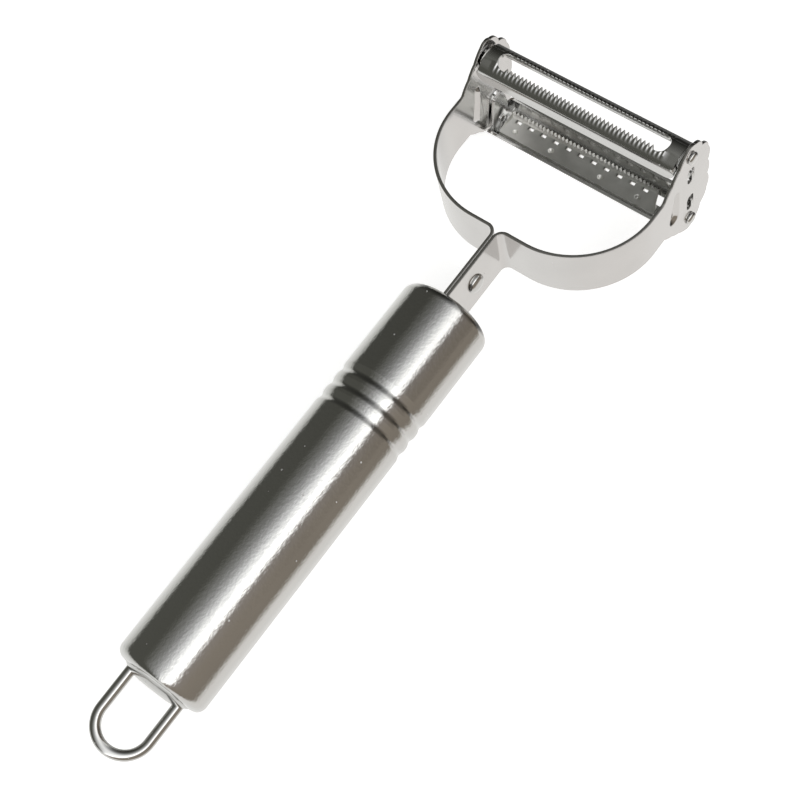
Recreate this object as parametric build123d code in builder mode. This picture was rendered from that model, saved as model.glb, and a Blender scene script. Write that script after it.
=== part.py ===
"""Steel vegetable peeler with a swivelling peeling blade and a swivelling julienne blade.

A round tube handle carries two flat steel strips, back to back in the neck. Each strip bends out
into a wide shoulder, runs up as an arm and ends in a toothed plate. Between the two plates hang two
arched blades, one above the other, each on its own pair of pins.

Frame: X runs across the head, Y along the handle towards the head, Z up, square to the strips'
plane. The origin is on the handle's axis, in the middle of the plain grip. Millimetres.
"""
from build123d import *
from math import asin, atan2, cos, degrees, hypot, radians, sin, sqrt
import os

os.makedirs("parts", exist_ok=True)

# Handle tube
tube_radius = 11.0
tube_wall = 0.8
grip_length = 65.0
groove_count = 3
groove_pitch = 3.75
groove_width = 2.2
groove_floor = 0.7
groove_depth = 0.55
grip_to_groove = 1.8
front_plain_length = 21.8
shoulder_radius = 2.4

# Caps that close the tube's two mouths
cap_flange_overlap = 0.8
cap_flange_thickness = 1.0
cap_flange_drop = 0.25
rear_dome_height = 1.6
rear_dome_flat = 3.6
rear_dome_edge_height = 0.8
rear_dome_edge_radius = 7.9

# Hanging loop of round wire
wire_radius = 1.25
loop_radius = 6.1
loop_reach = 17.5
loop_turn = 22.0
leg_head_radius = 1.9
leg_head_height = 0.8

# Frame strips
strip_thickness = 0.8
strip_edge_margin = 1.1
tang_length = 20.0
neck_bend_radius = 2.2
shoulder_distance = 19.8
shoulder_flat_end = 7.3
arm_corner_radius = 20.0

# Rivets through both strips
rivet_radius = 1.5
rivet_head_radius = 2.4
rivet_head_height = 0.8
rivet_head_bevel = 0.5
neck_rivet_distance = 9.0
tang_rivet_depth = 12.0

# Toothed end plates, measured from the line that joins the blades' pins
head_distance = 54.4
plate_arm_reach = 10.5
plate_front_reach = 7.0
plate_front_half = 8.4
plate_half_height = 15.8
plate_crown_half = 1.7
front_tooth_count = 3
upper_tooth_count = 2
lower_tooth_count = 3
tooth_rise = 0.75

# Pressed drops that stiffen the arms
drop_distance = 6.1
drop_low_radius = 1.45
drop_high_radius = 0.35
drop_low_z = -3.9
drop_high_z = 4.8
drop_lean = 0.5
drop_depth = 0.9
drop_draft = 25.0

# Blades: an arched sheet with a long slot
blade_thickness = 0.8
blade_setback = 0.9
arch_radius = 5.4
arch_top_z = 14.7
arch_half_angle = 75.0
slot_end_margin = 3.1
slot_width = 4.8
lip_corner_radius = 2.2
serration_pitch = 1.05
near_serration_depth = 0.95
far_serration_depth = 0.3
serration_root = 0.12
serration_tip_flat = 0.16
short_tooth_share = 0.8

# Ears, pins and stop tabs
ear_half_width = 3.0
ear_gap = 0.35
ear_low_half_width = 1.5
ear_low_z = 3.5
ear_round = 0.8
ear_bend_bevel = 0.5
pin_z = 12.6
pin_radius = 0.8
pin_head_radius = 1.6
pin_head_height = 0.85
pin_crown_radius = 0.9
pin_inner_head_radius = 1.1
pin_inner_head_height = 0.5
pin_head_gap = 0.15
tab_thickness = 0.6
tab_low_z = 4.1
tab_high_z = 7.1
tab_proud = 0.5
stop_slot_z = 5.5
stop_slot_length = 5.2
stop_slot_width = 2.6

# Julienne blade: a narrower slot, nearly covered by a comb that lies inside the arch
julienne_slot_near = 0.6
julienne_slot_far = 3.0
julienne_slot_end_margin = 2.3
comb_thickness = 0.4
comb_shift = -3.1
comb_end_margin = 1.5
comb_web_half_width = 2.6
comb_flange_angle = 18.0
comb_tooth_pitch = 1.1
comb_tooth_depth = 0.8
knife_count = 11
knife_end_margin = 3.0
knife_height = 1.9
knife_length = 1.0
knife_tip_length = 0.5
knife_to_bend = 0.1
weld_end_margin = 3.6
weld_inner_share = 0.336
weld_offset = 0.75
weld_radius = 0.8
weld_tip_radius = 0.5
weld_pit_radius = 0.65

# Clearances
seat_gap = 0.05
running_gap = 0.06
overrun = 5.0

# Places along the handle
grip_rear_y = -grip_length / 2
grip_front_y = grip_length / 2
first_groove_y = grip_front_y + grip_to_groove
last_groove_y = first_groove_y + (groove_count - 1) * groove_pitch
front_shoulder_y = last_groove_y + groove_width / 2 + front_plain_length
front_y = front_shoulder_y + shoulder_radius
rear_y = grip_rear_y - shoulder_radius
mouth_radius = tube_radius - shoulder_radius
strip_width = 2 * (mouth_radius - strip_edge_margin)

# Places of the head
neck_x = strip_thickness / 2
shoulder_y = front_y + shoulder_distance
arm_x = shoulder_flat_end + arm_corner_radius
arm_inner_x = arm_x - strip_thickness / 2
arm_outer_x = arm_x + strip_thickness / 2
head_y = front_y + head_distance
plate_start_y = head_y - plate_arm_reach
ear_outer_x = arm_inner_x - ear_gap
ear_inner_x = ear_outer_x - blade_thickness
arch_y = head_y - blade_setback
arch_center_z = arch_top_z - arch_radius


# Handle tube: one turned wall with rolled grooves, drawn in at both mouths
bore_radius = tube_radius - groove_depth - tube_wall
groove_floor_x = tube_radius - groove_depth

with BuildPart() as handle_tube:
    with BuildSketch(Plane.XY):
        with BuildLine():
            Line((mouth_radius, front_y), (mouth_radius, front_y - tube_wall))
            Line((mouth_radius, front_y - tube_wall), (bore_radius, front_y - tube_wall))
            Line((bore_radius, front_y - tube_wall), (bore_radius, rear_y + tube_wall))
            Line((bore_radius, rear_y + tube_wall), (mouth_radius, rear_y + tube_wall))
            Line((mouth_radius, rear_y + tube_wall), (mouth_radius, rear_y))
            RadiusArc((mouth_radius, rear_y), (tube_radius, grip_rear_y), -shoulder_radius)
            spots = [(tube_radius, grip_rear_y)]
            for step in range(groove_count):
                groove_y = first_groove_y + step * groove_pitch
                spots.append((tube_radius, groove_y - groove_width / 2))
                spots.append((groove_floor_x, groove_y - groove_floor / 2))
                spots.append((groove_floor_x, groove_y + groove_floor / 2))
                spots.append((tube_radius, groove_y + groove_width / 2))
            spots.append((tube_radius, front_shoulder_y))
            Polyline(*spots)
            RadiusArc((tube_radius, front_shoulder_y), (mouth_radius, front_y), -shoulder_radius)
        make_face()
    revolve(axis=Axis.Y)
handle_tube.part.label = "handle_tube"

# Both caps: a plug in the mouth with a flange behind the tube's turned-in lip
plug_radius = mouth_radius - seat_gap
flange_radius = mouth_radius + cap_flange_overlap
plug_depth = tube_wall + cap_flange_drop

with BuildPart() as handle_front_cap:
    with BuildSketch(Plane.XZ.offset(-front_y)):
        Circle(plug_radius)
    extrude(amount=plug_depth)
    with BuildSketch(Plane.XZ.offset(plug_depth - front_y)):
        Circle(flange_radius)
    extrude(amount=cap_flange_thickness)
    with BuildSketch(Plane.XZ.offset(-front_y)):
        Rectangle(2 * strip_thickness + 2 * seat_gap, strip_width + 2 * seat_gap)
    extrude(amount=plug_depth + cap_flange_thickness, mode=Mode.SUBTRACT)
handle_front_cap.part.label = "handle_front_cap"

# The loop's plane holds the handle's axis and is turned about it
loop_plane = Plane(origin=(0, 0, 0), x_dir=Vector(1, 0, 0).rotate(Axis.Y, loop_turn), z_dir=(
    Vector(0, 0, 1).rotate(Axis.Y, loop_turn)))
cap_inner_y = rear_y + plug_depth + cap_flange_thickness
leg_holes = [loop_plane.from_local_coords(Vector(side * loop_radius, 0, 0)) for side in (-1, 1)]

with BuildPart() as handle_rear_cap:
    with BuildSketch(Plane.XY):
        with BuildLine():
            Line((0, cap_inner_y), (flange_radius, cap_inner_y))
            Line((flange_radius, cap_inner_y), (flange_radius, rear_y + plug_depth))
            Line((flange_radius, rear_y + plug_depth), (plug_radius, rear_y + plug_depth))
            Line((plug_radius, rear_y + plug_depth), (plug_radius, rear_y))
            Polyline(
                (plug_radius, rear_y),
                (rear_dome_edge_radius, rear_y - rear_dome_edge_height),
                (rear_dome_flat, rear_y - rear_dome_height),
                (0, rear_y - rear_dome_height),
                (0, cap_inner_y),
            )
        make_face()
    revolve(axis=Axis.Y)
    with BuildSketch(Plane.XZ.offset(-cap_inner_y)):
        with Locations(*[(hole.X, hole.Z) for hole in leg_holes]):
            Circle(wire_radius + seat_gap)
    extrude(amount=cap_inner_y - rear_y + rear_dome_height + overrun, mode=Mode.SUBTRACT)
handle_rear_cap.part.label = "handle_rear_cap"

# Hanging loop: one U of wire, its two ends upset into small heads behind the rear cap
loop_center_y = rear_y - loop_reach + loop_radius + wire_radius
head_start_y = cap_inner_y + seat_gap
leg_end_y = head_start_y + leg_head_height

with BuildPart() as hanging_loop:
    with BuildLine(loop_plane) as wire_path:
        Line((-loop_radius, leg_end_y), (-loop_radius, loop_center_y))
        ThreePointArc(
            (-loop_radius, loop_center_y),
            (0, loop_center_y - loop_radius),
            (loop_radius, loop_center_y),
        )
        Line((loop_radius, loop_center_y), (loop_radius, leg_end_y))
    with BuildSketch(Plane(origin=wire_path.line @ 0, z_dir=wire_path.line % 0)):
        Circle(wire_radius)
    sweep()
    with BuildSketch(Plane.XZ.offset(-head_start_y)):
        with Locations(*[(hole.X, hole.Z) for hole in leg_holes]):
            Circle(leg_head_radius)
    extrude(amount=-leg_head_height)
hanging_loop.part.label = "hanging_loop"


def toothed_run(start, end, teeth):
    """Arcs that swell outwards from start to end, one for each tooth, with a notch between them."""
    along_y = (end[0] - start[0]) / teeth
    along_z = (end[1] - start[1]) / teeth
    pitch = hypot(along_y, along_z)
    out_y = along_z / pitch * tooth_rise
    out_z = -along_y / pitch * tooth_rise
    for step in range(teeth):
        low = (start[0] + step * along_y, start[1] + step * along_z)
        high = (low[0] + along_y, low[1] + along_z)
        middle = ((low[0] + high[0]) / 2 + out_y, (low[1] + high[1]) / 2 + out_z)
        ThreePointArc(low, middle, high)


# Right strip: tang, neck, bend, shoulder and arm as one swept section, then the toothed end plate
half_width = strip_width / 2
front_corner_y = head_y + plate_front_reach
crown_front_y = head_y + plate_crown_half
crown_rear_y = head_y - plate_crown_half
drop_y = head_y - drop_distance

with BuildPart() as right_frame_strip:
    with BuildLine() as strip_path:
        Line((neck_x, front_y - tang_length), (neck_x, shoulder_y - neck_bend_radius))
        RadiusArc(
            (neck_x, shoulder_y - neck_bend_radius),
            (neck_x + neck_bend_radius, shoulder_y),
            neck_bend_radius,
        )
        Line((neck_x + neck_bend_radius, shoulder_y), (shoulder_flat_end, shoulder_y))
        RadiusArc(
            (shoulder_flat_end, shoulder_y),
            (arm_x, shoulder_y + arm_corner_radius),
            -arm_corner_radius,
        )
        Line((arm_x, shoulder_y + arm_corner_radius), (arm_x, plate_start_y))
    with BuildSketch(Plane(origin=strip_path.line @ 0, x_dir=(1, 0, 0), z_dir=(0, 1, 0))):
        Rectangle(strip_thickness, strip_width)
    sweep()
    with BuildSketch(Plane.YZ.offset(arm_inner_x)):
        with BuildLine():
            Line((plate_start_y, half_width), (plate_start_y, -half_width))
            toothed_run((plate_start_y, -half_width), (crown_rear_y, -plate_half_height), lower_tooth_count)
            toothed_run((crown_rear_y, -plate_half_height), (crown_front_y, -plate_half_height), 1)
            toothed_run((crown_front_y, -plate_half_height), (front_corner_y, -plate_front_half),
                        upper_tooth_count)
            toothed_run((front_corner_y, -plate_front_half), (front_corner_y, plate_front_half),
                        front_tooth_count)
            toothed_run((front_corner_y, plate_front_half), (crown_front_y, plate_half_height),
                        upper_tooth_count)
            toothed_run((crown_front_y, plate_half_height), (crown_rear_y, plate_half_height), 1)
            toothed_run((crown_rear_y, plate_half_height), (plate_start_y, half_width), lower_tooth_count)
        make_face()
        with Locations((head_y, pin_z), (head_y, -pin_z)):
            Circle(pin_radius + running_gap, mode=Mode.SUBTRACT)
        with Locations((head_y, stop_slot_z), (head_y, -stop_slot_z)):
            SlotOverall(stop_slot_length, stop_slot_width, rotation=90, mode=Mode.SUBTRACT)
    extrude(amount=strip_thickness)
    with BuildSketch(Plane.YZ.offset(arm_inner_x)):
        with Locations((drop_y - drop_lean, drop_low_z)):
            Circle(drop_low_radius + strip_thickness / 2)
        with Locations((drop_y + drop_lean, drop_high_z)):
            Circle(drop_high_radius + strip_thickness / 2)
        make_hull()
    extrude(amount=-drop_depth, taper=drop_draft)
    with BuildSketch(Plane.YZ.offset(arm_outer_x)):
        with Locations((drop_y - drop_lean, drop_low_z)):
            Circle(drop_low_radius)
        with Locations((drop_y + drop_lean, drop_high_z)):
            Circle(drop_high_radius)
        make_hull()
    extrude(amount=-drop_depth, taper=drop_draft / 2, mode=Mode.SUBTRACT)
    with BuildSketch(Plane.YZ.offset(-overrun)):
        with Locations((front_y + neck_rivet_distance, 0), (front_y - tang_rivet_depth, 0)):
            Circle(rivet_radius + seat_gap)
    extrude(amount=2 * overrun, mode=Mode.SUBTRACT)
right_frame_strip.part.label = "right_frame_strip"

with BuildPart() as left_frame_strip:
    add(mirror(right_frame_strip.part, about=Plane.YZ, mode=Mode.PRIVATE))
left_frame_strip.part.label = "left_frame_strip"


def strip_rivet(place_y):
    """A rivet across both strips, centred on the handle's axis, with a bevelled pan head at each end."""
    head_x = strip_thickness + rivet_head_height
    with BuildPart() as rivet:
        with BuildSketch(Plane.XY):
            with BuildLine():
                Polyline(
                    (0, 0),
                    (0, rivet_radius),
                    (strip_thickness, rivet_radius),
                    (strip_thickness, rivet_head_radius),
                    (head_x - rivet_head_bevel, rivet_head_radius),
                    (head_x, rivet_head_radius - rivet_head_bevel),
                    (head_x, 0),
                    close=True,
                )
            make_face()
        revolve(axis=Axis.X)
        mirror(about=Plane.YZ)
    return rivet.part.moved(Location((0, place_y, 0)))


with BuildPart() as neck_rivet:
    add(strip_rivet(front_y + neck_rivet_distance))
neck_rivet.part.label = "neck_rivet"

with BuildPart() as tang_rivet:
    add(strip_rivet(front_y - tang_rivet_depth))
tang_rivet.part.label = "tang_rivet"


# Blades. Both are drawn as the upper one, the arch a little nearer the handle than its pins, and one is turned over
def arch_section(outer_radius, thickness, from_angle, to_angle):
    """Band of an arch in Y and Z between two angles from the top, positive towards the head's front."""
    inner_radius = outer_radius - thickness
    with BuildLine() as section:
        edge = []
        for radius in (outer_radius, inner_radius):
            for angle in (from_angle, (from_angle + to_angle) / 2, to_angle):
                edge.append((
                    arch_y + radius * sin(radians(angle)),
                    arch_center_z + radius * cos(radians(angle)),
                ))
        ThreePointArc(edge[0], edge[1], edge[2])
        Line(edge[2], edge[5])
        ThreePointArc(edge[5], edge[4], edge[3])
        Line(edge[3], edge[0])
    return section.line


def serrated_slot(half_length, near_edge, far_edge, near_depth, far_depth):
    """Round-ended slot in plan whose two long edges carry fine teeth that point into the slot."""
    slot_middle = (near_edge + far_edge) / 2
    width = far_edge - near_edge
    teeth = int((2 * half_length - width) / serration_pitch)
    start = -teeth * serration_pitch / 2
    with BuildSketch() as slot:
        with Locations((0, slot_middle)):
            SlotOverall(2 * half_length, width)
        for edge, inward, depth in ((near_edge, 1, near_depth), (far_edge, -1, far_depth)):
            if depth == 0:
                continue
            root = edge + inward * serration_root
            buried = edge - inward * depth
            spots = [(start, buried), (start, root)]
            for step in range(teeth):
                middle_x = start + (step + 1 / 2) * serration_pitch
                tip = edge + inward * depth * (short_tooth_share if step % 2 else 1)
                spots.append((middle_x - serration_tip_flat / 2, tip))
                spots.append((middle_x + serration_tip_flat / 2, tip))
                spots.append((middle_x + serration_pitch / 2, root))
            spots.append((spots[-1][0], buried))
            with BuildLine():
                Polyline(*spots, close=True)
            make_face(mode=Mode.SUBTRACT)
    return slot.sketch


def blade_body(slot):
    """Arched sheet with slot and rounded lip corners, bent down at both ends into ears with stop tabs."""
    lip_z = arch_center_z + (arch_radius - blade_thickness) * cos(radians(arch_half_angle))
    with BuildPart() as blade:
        with BuildSketch(Plane.YZ.offset(-ear_outer_x)):
            add(arch_section(arch_radius, blade_thickness, -arch_half_angle, arch_half_angle))
            make_face()
        extrude(amount=2 * ear_outer_x)
        chamfer(edges().filter_by(GeomType.CIRCLE).group_by(SortBy.RADIUS)[-1], ear_bend_bevel)
        # rounded lip corners, seen from the side
        with BuildSketch(Plane.XZ.offset(-arch_y - arch_radius - overrun)):
            with Locations((ear_outer_x - lip_corner_radius, lip_z + lip_corner_radius)):
                corner_side = lip_corner_radius + overrun
                Rectangle(corner_side, corner_side, align=(Align.MIN, Align.MAX))
                Circle(lip_corner_radius, mode=Mode.SUBTRACT)
        extrude(amount=2 * (arch_radius + overrun), mode=Mode.SUBTRACT)
        with BuildSketch(Plane.XY.offset(arch_center_z)):
            add(slot.moved(Location((0, arch_y, 0))))
        extrude(amount=arch_radius + overrun, mode=Mode.SUBTRACT)
        # ears
        with BuildSketch(Plane.YZ.offset(ear_inner_x)):
            with Locations((arch_y, arch_center_z)):
                Circle(arch_radius - ear_bend_bevel)
            with Locations((head_y, arch_center_z + arch_radius / 2)):
                Rectangle(2 * ear_half_width, arch_radius, mode=Mode.INTERSECT)
            with BuildLine():
                Polyline(
                    (head_y - ear_half_width, arch_center_z),
                    (head_y + ear_half_width, arch_center_z),
                    (head_y + ear_low_half_width, ear_low_z),
                    (head_y - ear_low_half_width, ear_low_z),
                    close=True,
                )
            make_face()
            fillet(vertices().sort_by(Axis.Y)[:2], ear_round)
            with Locations((head_y, pin_z)):
                Circle(pin_radius + seat_gap, mode=Mode.SUBTRACT)
        extrude(amount=blade_thickness)
        with BuildSketch(Plane.YZ.offset(ear_inner_x)):
            with Locations((head_y, (tab_low_z + tab_high_z) / 2)):
                Rectangle(tab_thickness, tab_high_z - tab_low_z)
        extrude(amount=arm_outer_x + tab_proud - ear_inner_x)
        split(bisect_by=Plane.YZ, keep=Keep.TOP)
        mirror(about=Plane.YZ)
    return blade.part


def blade_pins():
    """Two stepped pins, each with a domed outer head, a shank through plate and ear, and a flat inner head."""
    inner_end = ear_inner_x - seat_gap - pin_inner_head_height
    head_x = arm_outer_x + pin_head_gap
    with BuildPart() as pins:
        with BuildSketch(Plane.XY):
            with BuildLine():
                Polyline(
                    (inner_end, 0),
                    (inner_end, pin_inner_head_radius),
                    (ear_inner_x - seat_gap, pin_inner_head_radius),
                    (ear_inner_x - seat_gap, pin_radius),
                    (head_x, pin_radius),
                    (head_x, pin_head_radius),
                    (head_x + pin_head_height, pin_crown_radius),
                    (head_x + pin_head_height, 0),
                    close=True,
                )
            make_face()
        revolve(axis=Axis.X)
        mirror(about=Plane.YZ)
    return pins.part.moved(Location((0, head_y, pin_z)))


slot_half_length = ear_inner_x - slot_end_margin
half_slot = slot_width / 2
peeling_slot = serrated_slot(slot_half_length, -half_slot, half_slot, near_serration_depth, far_serration_depth)
julienne_half_length = ear_inner_x - julienne_slot_end_margin
julienne_slot = serrated_slot(julienne_half_length, julienne_slot_near, julienne_slot_far, 0, 0)

with BuildPart() as peeling_blade:
    add(blade_body(peeling_slot))
peeling_blade.part.label = "peeling_blade"

with BuildPart() as peeling_blade_pins:
    add(blade_pins())
peeling_blade_pins.part.label = "peeling_blade_pins"

with BuildPart() as julienne_blade:
    add(blade_body(julienne_slot))
    mirror(about=Plane.XY, mode=Mode.REPLACE)
julienne_blade.part.label = "julienne_blade"

with BuildPart() as julienne_blade_pins:
    add(blade_pins())
    mirror(about=Plane.XY, mode=Mode.REPLACE)
julienne_blade_pins.part.label = "julienne_blade_pins"

# Comb: a flat web across the arch, a far flange that follows the arch, small knives bent out of it
comb_half_length = slot_half_length - comb_end_margin
comb_radius = arch_radius - blade_thickness - seat_gap
web_rise = sqrt(comb_radius**2 - comb_web_half_width**2)
web_outer_z = arch_center_z + web_rise
web_inner_z = web_outer_z - comb_thickness
flange_inner_radius = comb_radius - comb_thickness
bend_half_width = sqrt(flange_inner_radius**2 - (web_rise - comb_thickness)**2)
flange_start = degrees(asin(comb_web_half_width / comb_radius))
flange_end = flange_start + comb_flange_angle
flange_middle = (flange_start + flange_end) / 2


def comb_spot(radius, angle):
    """Point of the comb's section at a radius and an angle from the arch's top."""
    return (arch_y + radius * sin(radians(angle)), arch_center_z + radius * cos(radians(angle)))


window_far_y = arch_y + bend_half_width - knife_to_bend
window_near_y = window_far_y - knife_length
first_knife_x = comb_shift - comb_half_length + knife_end_margin
knife_pitch = 2 * (comb_half_length - knife_end_margin) / (knife_count - 1)
knife_places = [first_knife_x + step * knife_pitch for step in range(knife_count)]
comb_far_y = comb_spot(comb_radius, flange_end)[0]
comb_tooth_count = int(2 * comb_half_length / comb_tooth_pitch)
first_notch_x = comb_shift - (comb_tooth_count - 1) * comb_tooth_pitch / 2
notch_places = [first_notch_x + step * comb_tooth_pitch for step in range(comb_tooth_count)]
weld_y = arch_y - weld_offset
weld_outer_x = comb_half_length - weld_end_margin
weld_inner_x = comb_half_length * weld_inner_share
weld_height = sqrt(comb_radius**2 - (weld_offset + weld_tip_radius)**2) - web_rise
weld_draft = degrees(atan2(weld_radius - weld_tip_radius, weld_height))
weld_places = [(comb_shift + side * x, weld_y) for side in (-1, 1) for x in (weld_inner_x, weld_outer_x)]

with BuildPart() as julienne_comb:
    with BuildSketch(Plane.YZ.offset(comb_shift - comb_half_length)):
        with BuildLine():
            Line((arch_y - comb_web_half_width, web_outer_z), (arch_y + comb_web_half_width, web_outer_z))
            ThreePointArc(
                (arch_y + comb_web_half_width, web_outer_z),
                comb_spot(comb_radius, flange_middle),
                comb_spot(comb_radius, flange_end),
            )
            Line(comb_spot(comb_radius, flange_end), comb_spot(flange_inner_radius, flange_end))
            ThreePointArc(
                comb_spot(flange_inner_radius, flange_end),
                comb_spot(flange_inner_radius, flange_middle),
                (arch_y + bend_half_width, web_inner_z),
            )
            Polyline(
                (arch_y + bend_half_width, web_inner_z),
                (arch_y - comb_web_half_width, web_inner_z),
                (arch_y - comb_web_half_width, web_outer_z),
            )
        make_face()
    extrude(amount=2 * comb_half_length)
    # fine teeth along the flange's edge
    with BuildSketch(Plane.XY.offset(arch_center_z)):
        for place in notch_places:
            with BuildLine():
                Polyline(
                    (place - comb_tooth_pitch / 2, comb_far_y + seat_gap),
                    (place, comb_far_y - comb_tooth_depth),
                    (place + comb_tooth_pitch / 2, comb_far_y + seat_gap),
                    close=True,
                )
            make_face()
    extrude(amount=comb_radius, mode=Mode.SUBTRACT)
    # one window for each knife, and the knife that was bent up out of it
    with BuildSketch(Plane.XY.offset(web_inner_z)):
        with Locations(*[(place, (window_near_y + window_far_y) / 2) for place in knife_places]):
            Rectangle(knife_height, knife_length)
    extrude(amount=comb_thickness, mode=Mode.SUBTRACT)
    for place in knife_places:
        bend_x = place - knife_height / 2
        with BuildSketch(Plane.YZ.offset(bend_x - comb_thickness)):
            with BuildLine():
                Polyline(
                    (window_near_y, web_inner_z),
                    (window_far_y, web_inner_z),
                    (window_far_y, web_outer_z + knife_height),
                    (window_far_y - knife_tip_length, web_outer_z + knife_height),
                    (window_near_y, web_outer_z),
                    close=True,
                )
            make_face()
        extrude(amount=comb_thickness)
    # round pits whose bosses are welded to the blade
    with BuildSketch(Plane.XY.offset(web_outer_z)):
        with Locations(*weld_places):
            Circle(weld_radius)
    extrude(amount=weld_height, taper=weld_draft)
    with BuildSketch(Plane.XY.offset(web_inner_z)):
        with Locations(*weld_places):
            Circle(weld_pit_radius)
    extrude(amount=weld_height, taper=weld_draft, mode=Mode.SUBTRACT)
    mirror(about=Plane.XY, mode=Mode.REPLACE)
julienne_comb.part.label = "julienne_comb"

pieces = (
    handle_tube,
    handle_front_cap,
    handle_rear_cap,
    hanging_loop,
    right_frame_strip,
    left_frame_strip,
    neck_rivet,
    tang_rivet,
    peeling_blade,
    peeling_blade_pins,
    julienne_blade,
    julienne_blade_pins,
    julienne_comb,
)
for piece in pieces:
    export_step(piece.part, f"parts/{piece.part.label}.step")
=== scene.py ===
# %% [markdown]
# # Steel vegetable peeler with two swivelling blades
#
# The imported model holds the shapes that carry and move. This lesson dresses them: every piece is steel, so
# what makes it look real is smooth form, the rounding of each sheet's edge, the grain of each finish and a
# studio whose light and dark walls the metal can mirror.
#
# Lengths are in millimetres until a mesh is made. X runs across the head, Y along the handle, Z up.

from math import pi, radians

import bpy
import numpy as np
from mathutils import Matrix, Vector
from mathutils.geometry import delaunay_2d_cdt


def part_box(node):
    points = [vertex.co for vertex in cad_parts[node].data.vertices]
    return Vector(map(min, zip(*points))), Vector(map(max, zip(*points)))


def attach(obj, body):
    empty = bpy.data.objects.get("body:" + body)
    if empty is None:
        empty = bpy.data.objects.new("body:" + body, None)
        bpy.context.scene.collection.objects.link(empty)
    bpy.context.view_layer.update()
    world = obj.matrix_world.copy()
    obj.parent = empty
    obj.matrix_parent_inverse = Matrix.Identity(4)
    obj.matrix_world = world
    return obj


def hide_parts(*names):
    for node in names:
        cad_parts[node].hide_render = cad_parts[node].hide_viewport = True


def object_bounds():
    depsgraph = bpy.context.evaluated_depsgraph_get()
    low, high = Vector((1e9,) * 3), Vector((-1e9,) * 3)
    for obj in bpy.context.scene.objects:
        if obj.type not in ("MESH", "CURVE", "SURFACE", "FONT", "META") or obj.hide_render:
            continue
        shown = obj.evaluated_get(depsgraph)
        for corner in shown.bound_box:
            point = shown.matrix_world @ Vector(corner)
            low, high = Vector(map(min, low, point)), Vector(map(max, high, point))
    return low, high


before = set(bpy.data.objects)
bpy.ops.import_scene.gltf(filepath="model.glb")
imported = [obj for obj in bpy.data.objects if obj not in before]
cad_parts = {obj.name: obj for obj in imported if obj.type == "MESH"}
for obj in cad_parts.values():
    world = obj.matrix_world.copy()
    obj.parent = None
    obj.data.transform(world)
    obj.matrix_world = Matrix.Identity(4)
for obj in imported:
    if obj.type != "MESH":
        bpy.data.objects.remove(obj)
cad_low, cad_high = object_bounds()
MM = 0.001


def node_box(node):
    """Lowest and highest corner of a node of the frame, in millimetres."""
    low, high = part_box(node)
    return np.array(low) / MM, np.array(high) / MM


print("nodes:", sorted(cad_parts))
print("object size in mm:", [round((high - low) / MM, 1) for low, high in zip(cad_low, cad_high)])

# %% [markdown]
# ## Camera
#
# The handle points down and to the left, and the camera looks down on the head from the right. Its place and
# turn were worked out from the edges of the tube, the grooves, the loop and the strips, so the render lines
# up with the photograph.

# %% Set the camera
camera_place = Vector((123.7, -38.06, 300.4)) * MM
camera_right = (0.789, 0.596, -0.152)
camera_up = (-0.499, 0.765, 0.408)
camera_back = (0.360, -0.246, 0.900)
sensor_width = 36.0
focal_length = 69.14
nearest_view = 10.0

camera_data = bpy.data.cameras.new("camera")
camera_data.sensor_width = sensor_width
camera_data.lens = focal_length
camera_data.clip_start = nearest_view * MM
camera = bpy.data.objects.new("camera", camera_data)
turn = Matrix((camera_right, camera_up, camera_back)).transposed()
camera.matrix_world = Matrix.Translation(camera_place) @ turn.to_quaternion().to_matrix().to_4x4()
bpy.context.scene.collection.objects.link(camera)
bpy.context.scene.camera = camera
print("camera distance in mm:", round(camera_place.length / MM))

# %% [markdown]
# ## Studio
#
# Polished steel shows its surroundings, so the light is drawn as a room: a pale floor, a dark wall on the
# left, a ceiling that grows brighter towards a long soft panel on the right, and a warm grey wall below that
# panel. The handle is a tube along Y, and it spreads the room into stripes by the angle round its own axis.
# A ramp over that angle is therefore the shortest way to describe the room. The blades and the bends mirror
# the far end of the room too, and it is darker there in the photograph. So the light also fades towards +Y:
# steadily above the horizon, and in one soft step below it. The camera itself sees a plain pale backdrop.

# %% Light of the room
# angle from straight up towards +X in degrees, then the light's colour and strength
room_stripes = (
    (-180, (0.93, 0.92, 0.90)),
    (-125, (0.92, 0.92, 0.90)),
    (-108, (0.78, 0.78, 0.75)),
    (-95, (0.56, 0.56, 0.53)),
    (-90, (0.100, 0.100, 0.088)),
    (-33, (0.095, 0.095, 0.082)),
    (-22, (0.17, 0.17, 0.155)),
    (-8, (0.27, 0.27, 0.26)),
    (3, (0.46, 0.46, 0.455)),
    (12, (0.72, 0.72, 0.72)),
    (22, (1.15, 1.15, 1.15)),
    (30, (1.65, 1.65, 1.63)),
    (37, (2.10, 2.08, 2.05)),
    (46, (2.10, 2.08, 2.05)),
    (52, (0.330, 0.295, 0.270)),
    (75, (0.300, 0.262, 0.218)),
    (114, (0.275, 0.240, 0.200)),
    (122, (0.66, 0.64, 0.60)),
    (130, (0.90, 0.87, 0.84)),
    (180, (0.93, 0.92, 0.90)),
)
backdrop_color = (0.97, 0.97, 0.97, 1)
# how far a ray looks towards +Y (0 not at all, 1 straight) where a fade starts and ends, then the light left
up_fade_span, up_light_left = (0.05, 0.95), 0.18
down_fade_span, down_light_left = (0.50, 0.78), 0.14
print("stripes of the room:", len(room_stripes))


# %% Shader helpers
def add_node(tree, kind, **values):
    """Adds a shader node; a value goes to the property or else to the input socket of that name."""
    node = tree.nodes.new(kind)
    for name, value in values.items():
        if hasattr(node, name):
            setattr(node, name, value)
        else:
            node.inputs[name.replace("_", " ")].default_value = value
    return node


def map_range(tree, source, target, **values):
    """Adds a node that carries a value from one range of (low, high) to another, and stops at its ends."""
    return add_node(tree, "ShaderNodeMapRange", From_Min=source[0], From_Max=source[1],
                    To_Min=target[0], To_Max=target[1], **values)


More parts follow.
